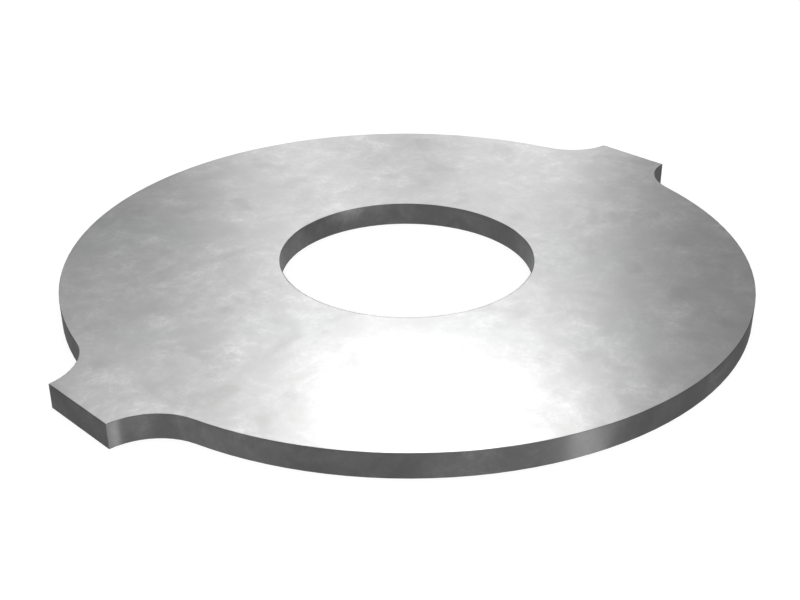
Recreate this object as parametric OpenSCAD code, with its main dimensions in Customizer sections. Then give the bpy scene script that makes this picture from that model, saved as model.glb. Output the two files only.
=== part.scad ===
// Flat steel washer with a tab on each side of its rim. The tabs sit in notches of the part that
// the washer lies on, and stop it turning. It is blanked from sheet in one piece, and tumbling
// takes the sharpness off its edges. Sizes are in millimetres. The origin is the centre of the
// bore on the lower face, and the tabs point along X.

/* [Ring] */
// Diameter of the round rim
ring_d = 38.1; // [30:0.05:80]
// Diameter of the bore
bore_d = 14.22; // [4:0.02:24]
// Thickness of the sheet
thickness = 1.35; // [0.5:0.05:5]

/* [Tabs] */
// How far each tab stands out past the rim
tab_reach = 2.39; // [0.5:0.01:8]
// Width of each tab
tab_w = 4.78; // [1:0.02:12]
// Radius of the fillets that blend each tab into the rim
fillet_r = 3.23; // [0.5:0.01:8]

/* [Edges] */
// Width of the break on every edge, along each of the two faces that meet there
edge_break = 0.01; // [0.01:0.01:0.2]

/* [Hidden] */
// Facets of a full circle in the preview
$fn = 180;

ring_r = ring_d / 2;
bore_r = bore_d / 2;
tab_end = ring_r + tab_reach;

// How deep a fillet's circle reaches into the rim and into the tab's side. At a bare touch,
// rounding of the last digit would leave slivers
seat = 0.0005;
fillet_y = tab_w / 2 + fillet_r - seat;
fillet_x = sqrt(pow(ring_r + fillet_r - seat, 2) - pow(fillet_y, 2));

// Section of the sheet from the middle out to an edge, with both corners of that edge broken
module edge_section(outer) {
    polygon([
        [0, 0], [outer - edge_break, 0], [outer, edge_break],
        [outer, thickness - edge_break], [outer - edge_break, thickness], [0, thickness],
    ]);
}

// Bar along Y, with that section on both sides of it
module bar(half_w, length) {
    rotate([90, 0, 0])
        linear_extrude(height = length, center = true) {
            edge_section(half_w);
            mirror([1, 0]) edge_section(half_w);
        }
}

// Round cutter that flares past both faces of the sheet, and so breaks the corners of its wall
module cutter(radius) {
    rotate_extrude()
        polygon([
            [0, -edge_break], [radius + 2 * edge_break, -edge_break],
            [radius, edge_break], [radius, thickness - edge_break],
            [radius + 2 * edge_break, thickness + edge_break], [0, thickness + edge_break],
        ]);
}

// Strip across the ring that carries a tab at each end. It widens towards the centres of the
// fillets, whose rounds then cut it back to a hollow blend from the rim to the tab
module tab_strip() {
    difference() {
        intersection() {
            union() {
                rotate(90) bar(tab_w / 2, 2 * (tab_end + tab_w));
                linear_extrude(height = thickness)
                    for (x = [-fillet_x, fillet_x])
                        polygon([[0, 0], [x, -fillet_y], [x, fillet_y]]);
            }
            bar(tab_end, 2 * fillet_y);
        }
        for (x = [-fillet_x, fillet_x], y = [-fillet_y, fillet_y])
            translate([x, y, 0])
                cutter(fillet_r);
    }
}

// The whole washer
module washer() {
    color("silver")
        difference() {
            union() {
                rotate_extrude() edge_section(ring_r);
                tab_strip();
            }
            cutter(bore_r);
        }
}

washer();
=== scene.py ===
# %% [markdown]
# A steel tab washer
#
# The washer is a flat ring blanked from steel sheet, with a square-ended tab on each of two
# opposite sides. Its shape comes ready made from the CAD model. This lesson gives that shape the
# finish of the real thing, sets it on a white studio floor, and lights and frames it.
#
# Every length is in metres, and the origin is the middle of the bore on the lower face. The tabs
# point along X, and Z is up.

# %% Load the washer
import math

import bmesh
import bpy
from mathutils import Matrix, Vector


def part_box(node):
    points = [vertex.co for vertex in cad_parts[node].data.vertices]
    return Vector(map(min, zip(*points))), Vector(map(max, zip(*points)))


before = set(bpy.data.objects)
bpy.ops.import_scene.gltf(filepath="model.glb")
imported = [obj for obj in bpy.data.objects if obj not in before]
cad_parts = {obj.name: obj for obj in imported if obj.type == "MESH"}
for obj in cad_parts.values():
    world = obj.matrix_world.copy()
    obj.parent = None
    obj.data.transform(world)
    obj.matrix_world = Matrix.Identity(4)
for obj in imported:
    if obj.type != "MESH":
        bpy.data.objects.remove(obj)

# %% [markdown]
# Blender may open with a cube, a lamp and a camera of its own. They are no part of the washer and
# would be counted in its size, so they go first. The box of what is left is the size of the CAD
# model, and the washer's thickness and outline are read from it below.

for name in ("Cube", "Light", "Camera"):
    stock = bpy.data.objects.get(name)
    if stock is not None:
        bpy.data.objects.remove(stock)

MM = 0.001
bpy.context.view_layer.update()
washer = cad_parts["washer"]
low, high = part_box("washer")
thickness = high.z - low.z
print("washer, mm:", [round(side / MM, 3) for side in high - low])

# %% [markdown]
# Small helpers
#
# Colours are easiest to pick as the hex values that a screen shows, but a shader wants linear
# light. One function turns the first into the second, so that no colour is converted twice or
# forgotten. Another adds a shader node with its settings and links in one call, which keeps a
# material readable from top to bottom. A third gives the direction from the washer to a place
# round it, by its angle to the right of straight ahead and its height over the floor.

# %% Colour, node and direction helpers
def linear(hex_colour):
    """The linear RGBA of an sRGB hex colour."""
    channels = [int(hex_colour[i:i + 2], 16) / 255 for i in (1, 3, 5)]
    light = [c / 12.92 if c <= 0.04045 else ((c + 0.055) / 1.055) ** 2.4 for c in channels]
    return (*light, 1)


def add_node(tree, kind, settings=None, links=None):
    """A new node. Settings go to its inputs, by name or number, or to its own properties."""
    node = tree.nodes.new(kind)
    for name, value in (settings or {}).items():
        if isinstance(name, int) or name in node.inputs:
            node.inputs[name].default_value = value
        else:
            setattr(node, name, value)
    for name, source in (links or {}).items():
        tree.links.new(source, node.inputs[name])
    return node


def towards(azimuth, elevation):
    """Unit direction. Azimuth 0 is -Y, and it grows to the right, towards +X."""
    a, e = math.radians(azimuth), math.radians(elevation)
    return Vector((math.sin(a) * math.cos(e), -math.cos(a) * math.cos(e), math.sin(e)))


print("white is", linear("#FFFFFF"))

# %% [markdown]
# The camera
#
# The washer is seen from close by, so its far side looks clearly smaller than its near side. The
# distance sets that, and the lens then sets how large the part stands in the picture. These
# numbers come from laying the model's edges over the photo's. The aim is a point on the floor, a
# little nearer than the middle of the bore.

# %% Set up the camera
VIEW_AZIMUTH = -45.345
VIEW_ELEVATION = 27.421
VIEW_DISTANCE = 71.49 * MM
AIM = Vector((-2.212, -1.67, 0)) * MM

lens = bpy.data.cameras.new("camera")
lens.lens = 56.67
lens.sensor_width = 36
lens.clip_start = 1 * MM
lens.clip_end = 100
camera = bpy.data.objects.new("camera", lens)
bpy.context.scene.collection.objects.link(camera)
camera.location = VIEW_DISTANCE * towards(VIEW_AZIMUTH, VIEW_ELEVATION)
camera.rotation_euler = (AIM - camera.location).to_track_quat("-Z", "Y").to_euler()
bpy.context.scene.camera = camera
print("camera, mm:", [round(c / MM, 2) for c in camera.location])

# %% [markdown]
# The steel
#
# The washer is taken to be mild steel sheet, from its neutral grey and its satin look. Two
# surfaces show. The faces are the sheet's own skin, pale, satin and faintly mottled. The walls are
# where a blanking die shears the sheet. They are duller, and drawn as the same metal. Their darker
# colour is painted shade, in place of the dark surroundings that a wall mirrors.
#
# Both could be painted as pictures, but a washer has no need of them: one test on height tells
# the walls from the faces, since the part is flat, and layered noise mottles them. The noise
# reads Object coordinates, which are real metres here, so its size can be set in millimetres.

# %% Start the steel
steel = bpy.data.materials.new("mild_steel_satin")
steel.use_nodes = True
tree = steel.node_tree
tree.nodes.clear()
place = add_node(tree, "ShaderNodeTexCoord").outputs["Object"]

# %% [markdown]
# Crust and blots
#
# The skin of the real washer is mottled in two ways. Pale patches a millimetre or two across are
# full of crisp specks, down to a tenth of a millimetre, while the duller metal between them is
# smooth. Multifractal noise does that: each layer is half the size of the one before and is
# multiplied onto it, so detail gathers where the patch is already pale. The second way is a few
# round, dull blots. They are the low tail of a soft noise, and are taken off the first. What is
# left runs from about the dullest to the palest value below, and is stretched to between 0 and 1.
#
# Noise goes on for ever, and a shift picks the stretch of it that lies on the washer. Both
# shifts were found by trying many and keeping those whose patches fall most as the real ones do.

# %% Make the mottling
CRUST_SIZE = 2.6 * MM
CRUST_SHIFT = Vector((-361.25, -297, 60)) * MM
BLOT_SIZE = 2.6 * MM
BLOT_SHIFT = Vector((0.25, 217, 80)) * MM
BLOT_DEPTH = 0.69
BLOT_HEART = 0.34
BLOT_EDGE = 0.45
DULLEST = -0.4
PALEST = 3.2

patches = add_node(tree, "ShaderNodeVectorMath", {"operation": "ADD", 1: CRUST_SHIFT}, {0: place})
crust = add_node(
    tree, "ShaderNodeTexNoise",
    {"noise_type": "MULTIFRACTAL", "Scale": 1 / CRUST_SIZE, "Detail": 6, "Roughness": 0.81,
     "Distortion": 0.2},
    {"Vector": patches.outputs["Vector"]},
).outputs["Fac"]
elsewhere = add_node(tree, "ShaderNodeVectorMath", {"operation": "ADD", 1: BLOT_SHIFT}, {0: place})
soft_noise = add_node(
    tree, "ShaderNodeTexNoise", {"Scale": 1 / BLOT_SIZE, "Detail": 1},
    {"Vector": elsewhere.outputs["Vector"]},
).outputs["Fac"]
blots = add_node(
    tree, "ShaderNodeMapRange",
    {"interpolation_type": "SMOOTHSTEP", "From Min": BLOT_HEART, "From Max": BLOT_EDGE,
     "To Min": BLOT_DEPTH, "To Max": 0},
    {"Value": soft_noise},
).outputs["Result"]
mottling = add_node(
    tree, "ShaderNodeMath", {"operation": "SUBTRACT"}, {0: crust, 1: blots},
).outputs["Value"]
pale_share = add_node(
    tree, "ShaderNodeMapRange", {"From Min": DULLEST, "From Max": PALEST}, {"Value": mottling},
).outputs["Result"]
print("patches, mm:", CRUST_SIZE / MM, "blots, mm:", BLOT_SIZE / MM)

# %% [markdown]
# Faces
#
# The bright skin of the sheet. Steel mirrors a little over half of the light, with no tint that
# the eye can name, so its colour is a neutral pale grey. The mottling is a stain in that colour,
# as it has the same contrast in bright and in dim light. A roughness of 0.3 is satin: lamps show
# as soft pools and not as shapes.

# %% Make the faces' shader
def mottled(dull, pale):
    """A colour that goes from dull to pale as the mottling does."""
    mix = add_node(
        tree, "ShaderNodeMix", {"data_type": "RGBA", 6: linear(dull), 7: linear(pale)},
        {"Factor": pale_share},
    )
    return mix.outputs[2]


faces = add_node(
    tree, "ShaderNodeBsdfPrincipled",
    {"Metallic": 1, "Roughness": 0.3},
    {"Base Color": mottled("#C0C0C0", "#E1E1E1")},
)
print("faces' roughness:", round(faces.inputs["Roughness"].default_value, 2))

# %% [markdown]
# Walls
#
# The sheared wall is dull. Its dark grey colour is painted shade, in place of the dark surroundings
# that a wall mirrors. Its highlight is spread up and down the wall and stays narrow the other way,
# as it does where fine lines run along a surface. That is anisotropy: its tangent is the direction
# in which the light is spread, here straight up. The rim also stays dark at a glancing angle, and
# Specular Tint darkens just that, which is painted shade too. The wall of the bore keeps more of
# its shine there, so it has a shader of its own, without the tint and a little less one-sided. The
# distance from the axis tells the two walls apart. They change over under the face, where neither
# shows.

# %% Make the walls' shaders
bore_radius = min(vertex.co.xy.length for vertex in washer.data.vertices)
bore_side = 1.2 * bore_radius
rim_side = 1.3 * bore_radius

upright = add_node(tree, "ShaderNodeCombineXYZ", {"Z": 1}).outputs["Vector"]
# The walls' dark grey colours and the rim's Specular Tint are painted shade.
rim_wall = add_node(
    tree, "ShaderNodeBsdfPrincipled",
    {"Metallic": 1, "Roughness": 0.44, "Anisotropic": 1, "Specular Tint": linear("#B5B5B5")},
    {"Base Color": mottled("#656565", "#7D7D7D"), "Tangent": upright},
)
bore_wall = add_node(
    tree, "ShaderNodeBsdfPrincipled",
    {"Metallic": 1, "Roughness": 0.51, "Anisotropic": 0.84},
    {"Base Color": mottled("#606060", "#7F7F7F"), "Tangent": upright},
)
across = add_node(tree, "ShaderNodeVectorMath", {"operation": "MULTIPLY", 1: (1, 1, 0)}, {0: place})
from_axis = add_node(
    tree, "ShaderNodeVectorMath", {"operation": "LENGTH"}, {0: across.outputs["Vector"]},
).outputs["Value"]
is_rim = add_node(
    tree, "ShaderNodeMapRange", {"From Min": bore_side, "From Max": rim_side}, {"Value": from_axis},
)
walls = add_node(
    tree, "ShaderNodeMixShader",
    links={"Fac": is_rim.outputs["Result"], 1: bore_wall.outputs["BSDF"], 2: rim_wall.outputs["BSDF"]},
)
print("bore radius, mm:", round(bore_radius / MM, 3))

# %% [markdown]
# How deep inside the outline
#
# On the near side of the bore the photo shows a thin dark line along the face's edge, and on the
# near rim the wall looks a third of a pixel taller than the sheet is thick. What made them can't
# be told from the photo. Both are drawn as a hair's breadth of the face that is as dull as the
# wall. On the far rim the photo shows no line, and one so thin doesn't show there here either.
#
# To draw it, the steel has to know how far a point lies from the nearest edge. The outline is a
# round ring laid over a strip, and a point is as deep in the washer as in the deeper of the two.
# The strip stops at the ends of the tabs and at the hollow fillets, and is as wide as where those
# meet the ring. All four quarters are alike, so X and Y are taken without their signs and one
# fillet stands for four. The tab's width and the fillet's radius repeat those of the CAD model,
# as its box doesn't give them.

# %% Measure the depth
TAB_WIDTH = 4.78 * MM
FILLET_RADIUS = 3.23 * MM
ring_radius = high.y
tab_end = high.x
fillet_y = TAB_WIDTH / 2 + FILLET_RADIUS
fillet_x = math.sqrt((ring_radius + FILLET_RADIUS) ** 2 - fillet_y ** 2)
strip_side = fillet_y * ring_radius / (ring_radius + FILLET_RADIUS)

quarter = add_node(
    tree, "ShaderNodeVectorMath", {"operation": "ABSOLUTE"}, {0: across.outputs["Vector"]},
).outputs["Vector"]
from_fillet = add_node(
    tree, "ShaderNodeVectorMath", {"operation": "DISTANCE", 1: (fillet_x, fillet_y, 0)}, {0: quarter},
)
past_fillet = add_node(
    tree, "ShaderNodeMath", {"operation": "SUBTRACT", 1: FILLET_RADIUS},
    {0: from_fillet.outputs["Value"]},
)
in_strip = add_node(
    tree, "ShaderNodeVectorMath", {"operation": "SUBTRACT", 0: (tab_end, strip_side, 0)}, {1: quarter},
)
in_box = add_node(tree, "ShaderNodeSeparateXYZ", links={"Vector": in_strip.outputs["Vector"]}).outputs
box_depth = add_node(
    tree, "ShaderNodeMath", {"operation": "MINIMUM"}, {0: in_box["X"], 1: in_box["Y"]},
)
strip_depth = add_node(
    tree, "ShaderNodeMath", {"operation": "MINIMUM"},
    {0: box_depth.outputs["Value"], 1: past_fillet.outputs["Value"]},
)
ring_depth = add_node(tree, "ShaderNodeMath", {"operation": "SUBTRACT", 0: ring_radius}, {1: from_axis})
outline_depth = add_node(
    tree, "ShaderNodeMath", {"operation": "MAXIMUM"},
    {0: ring_depth.outputs["Value"], 1: strip_depth.outputs["Value"]},
)
bore_depth = add_node(tree, "ShaderNodeMath", {"operation": "SUBTRACT", 1: bore_radius}, {0: from_axis})
print("fillet centre, mm:", round(fillet_x / MM, 2), round(fillet_y / MM, 2))

# %% [markdown]
# Which is which
#
# Half the sheet's thickness away from its middle is a face, and anything nearer is a wall. The
# edges between them are broken by a hundredth of a millimetre, and there the one finish fades
# into the other. The dull line lies next to the edge and looks like the wall. It is as wide round
# the bore as the bore's near side asks for, and round the outline as the near rim asks for.

# %% Mix the faces and the walls
EDGE_BREAK = 0.01 * MM
OUTLINE_DULL = 0.012 * MM
BORE_DULL = 0.03 * MM
LINE_FADE = 0.25


def clear_of_line(depth, width):
    """0 in the dull line and 1 deeper in, with a short fade between."""
    line_end = EDGE_BREAK + width
    fade = LINE_FADE * width
    deeper = add_node(
        tree, "ShaderNodeMapRange", {"From Min": line_end - fade, "From Max": line_end + fade},
        {"Value": depth.outputs["Value"]},
    )
    return deeper.outputs["Result"]


height = add_node(tree, "ShaderNodeSeparateXYZ", links={"Vector": place}).outputs["Z"]
above_middle = add_node(
    tree, "ShaderNodeMath", {"operation": "SUBTRACT", 1: thickness / 2}, {0: height},
)
from_middle = add_node(
    tree, "ShaderNodeMath", {"operation": "ABSOLUTE"}, {0: above_middle.outputs["Value"]},
)
high_enough = add_node(
    tree, "ShaderNodeMapRange",
    {"From Min": thickness / 2 - EDGE_BREAK, "From Max": thickness / 2 - EDGE_BREAK / 2},
    {"Value": from_middle.outputs["Value"]},
)
clear_of_edges = add_node(
    tree, "ShaderNodeMath", {"operation": "MULTIPLY"},
    {0: clear_of_line(outline_depth, OUTLINE_DULL), 1: clear_of_line(bore_depth, BORE_DULL)},
)
is_face = add_node(
    tree, "ShaderNodeMath", {"operation": "MULTIPLY"},
    {0: high_enough.outputs["Result"], 1: clear_of_edges.outputs["Value"]},
)
both = add_node(
    tree, "ShaderNodeMixShader",
    links={"Fac": is_face.outputs["Value"], 1: walls.outputs["Shader"], 2: faces.outputs["BSDF"]},
)
add_node(tree, "ShaderNodeOutputMaterial", links={"Surface": both.outputs["Shader"]})

for slot in washer.material_slots:
    slot.material = steel
print("steel on", washer.name, "with", len(tree.nodes), "nodes")

# %% [markdown]
# The floor
#
# The photo's ground is pure white. To get that here, the washer lies on a white plate that is lit
# through from below, as on a light table. The plate curves up into a low wall all round, so that
# no view has a horizon. A profile of a floor, a quarter round and a wall is spun about Z.

# %% Shape the sweep
FLOOR_RADIUS = 1.5
SWEEP_RADIUS = 0.25
SWEEP_HEIGHT = 0.42
FLOOR_GAP = 0.01 * MM
CURVE_STEPS = 8
ROUND_STEPS = 96

sweep_mesh = bmesh.new()
profile = [sweep_mesh.verts.new((0, 0, 0)), sweep_mesh.verts.new((FLOOR_RADIUS, 0, 0))]
for step in range(1, CURVE_STEPS + 1):
    turn = math.radians(90 * step / CURVE_STEPS)
    x = FLOOR_RADIUS + SWEEP_RADIUS * math.sin(turn)
    profile.append(sweep_mesh.verts.new((x, 0, SWEEP_RADIUS * (1 - math.cos(turn)))))
profile.append(sweep_mesh.verts.new((FLOOR_RADIUS + SWEEP_RADIUS, 0, SWEEP_HEIGHT)))
for start, end in zip(profile, profile[1:]):
    sweep_mesh.edges.new((start, end))
bmesh.ops.spin(
    sweep_mesh, geom=sweep_mesh.verts[:] + sweep_mesh.edges[:], cent=(0, 0, 0), axis=(0, 0, 1),
    angle=math.tau, steps=ROUND_STEPS, use_merge=True,
)
bmesh.ops.remove_doubles(sweep_mesh, verts=sweep_mesh.verts, dist=MM)
bmesh.ops.recalc_face_normals(sweep_mesh, faces=sweep_mesh.faces)
bmesh.ops.translate(sweep_mesh, verts=sweep_mesh.verts, vec=(0, 0, -FLOOR_GAP))
for face in sweep_mesh.faces:
    face.smooth = True
sweep_data = bpy.data.meshes.new("sweep")
sweep_mesh.to_mesh(sweep_data)
sweep_mesh.free()
sweep = bpy.data.objects.new("sweep", sweep_data)
bpy.context.scene.collection.objects.link(sweep)
print("sweep faces:", len(sweep_data.polygons))

# %% [markdown]
# Opal white
#
# The plate is opal acrylic. Its surface takes lamp light and shadow like any matt white, and the
# light from below lifts it to pure white. That glow is there for the camera and for what the
# metal mirrors, but it lights nothing matt, so the floor keeps the washer's shadow.

# %% Paint the sweep
acrylic = bpy.data.materials.new("opal_acrylic")
acrylic.use_nodes = True
plate = acrylic.node_tree
plate.nodes.clear()
rays = add_node(plate, "ShaderNodeLightPath").outputs
camera_or_gloss = add_node(
    plate, "ShaderNodeMath", {"operation": "MAXIMUM"},
    {0: rays["Is Camera Ray"], 1: rays["Is Glossy Ray"]},
)
seen = add_node(
    plate, "ShaderNodeMath", {"operation": "MAXIMUM"},
    {0: camera_or_gloss.outputs[0], 1: rays["Is Transmission Ray"]},
)
GLOW = 0.86
glow_strength = add_node(
    plate, "ShaderNodeMath", {"operation": "MULTIPLY", 1: GLOW}, {0: seen.outputs[0]},
)
matt = add_node(plate, "ShaderNodeBsdfDiffuse", {"Color": linear("#868686")})
glow = add_node(
    plate, "ShaderNodeEmission", {"Color": linear("#FFFFFF")},
    {"Strength": glow_strength.outputs["Value"]},
)
lit = add_node(plate, "ShaderNodeAddShader", links={0: matt.outputs[0], 1: glow.outputs[0]})
add_node(plate, "ShaderNodeOutputMaterial", links={"Surface": lit.outputs[0]})
sweep_data.materials.append(acrylic)
print("acrylic on", sweep.name, "with", len(plate.nodes), "nodes")

# %% [markdown]
# The lamps
#
# Satin metal shows its surroundings, so each lamp is placed by where the washer mirrors it. A
# softbox is a bright rectangle. What counts for the metal is how bright it looks and how large
# it stands, so each is given as a glow, where 1 is as bright as white paper, and a size. Its
# power follows from the two.
#
# Four small bright lamps stand across the washer from the camera. The key and its wing make the
# bright pool on the near half of the face, and the low strips light the far half. One lamp could
# not do all this, as the pool would then be round and even. The floor bar stands on the camera's
# side, to the right, and puts the streak on the near rim. It stands low, so that a face mirrors it
# only when it is seen from across the bar and nearly edge-on.

# %% Hang the small lamps
LAMP_DISTANCE = 1.2


def softbox(name, side, elevation, width, height, glow):
    """A softbox that faces the washer. Side counts degrees to the right of the camera."""
    box = bpy.data.lights.new(name, "AREA")
    box.shape = "RECTANGLE"
    box.size, box.size_y = width, height
    box.energy = math.pi * width * height * glow
    lamp = bpy.data.objects.new(name, box)
    bpy.context.scene.collection.objects.link(lamp)
    lamp.location = LAMP_DISTANCE * towards(VIEW_AZIMUTH + side, elevation)
    lamp.rotation_euler = (-lamp.location).to_track_quat("-Z", "Y").to_euler()
    print(name, "at", [round(c, 2) for c in lamp.location], "power, W:", round(box.energy, 2))


softbox("key_box", 176.7, 36.8, 0.24, 0.071, 13)
softbox("wing_box", 189.1, 35.8, 0.375, 0.051, 5.5)
softbox("low_strip_left", 185.6, 21, 0.151, 0.388, 0.94)
softbox("low_strip_right", 173.6, 18.6, 0.163, 0.068, 4.5)
softbox("floor_bar", 52.2, 1.8, 0.212, 0.07, 67)

# %% [markdown]
# A face that mirrors only a lamp is bright from one side and black from the next. The large dim
# boxes stand all round and overhead, about as bright as white paper or less, so the face is grey
# from the other sides. One view is left where it isn't: low down from straight behind, the floor
# bar bleaches a stretch of the face into the white floor.

# %% Hang the large lamps
softbox("right_box", 63, 44, 0.78, 0.68, 1.0)
softbox("left_box", -61, 37, 0.94, 0.95, 0.98)
softbox("front_box", 25, 14.7, 0.81, 0.62, 0.68)
softbox("high_front_box", 3, 45.5, 0.97, 0.82, 0.94)
softbox("overhead_box", 0, 90, 1.3, 1.3, 0.91)
softbox("far_right_box", 126.4, 47.3, 1.19, 1.23, 0.54)
softbox("far_left_box", -128, 43.4, 1.21, 1.1, 0.5)

# %% [markdown]
# The room
#
# A dim even grey stands for the rest of the studio, so that no side of the metal mirrors black.

# %% Dim the room
world = bpy.data.worlds.new("studio")
world.use_nodes = True
bpy.context.scene.world = world
room = world.node_tree.nodes["Background"]
ROOM_GLOW = 0.085
room.inputs["Color"].default_value = linear("#FFFFFF")
room.inputs["Strength"].default_value = ROOM_GLOW
bpy.context.scene.view_settings.view_transform = "Standard"
print("the room glows at", ROOM_GLOW)
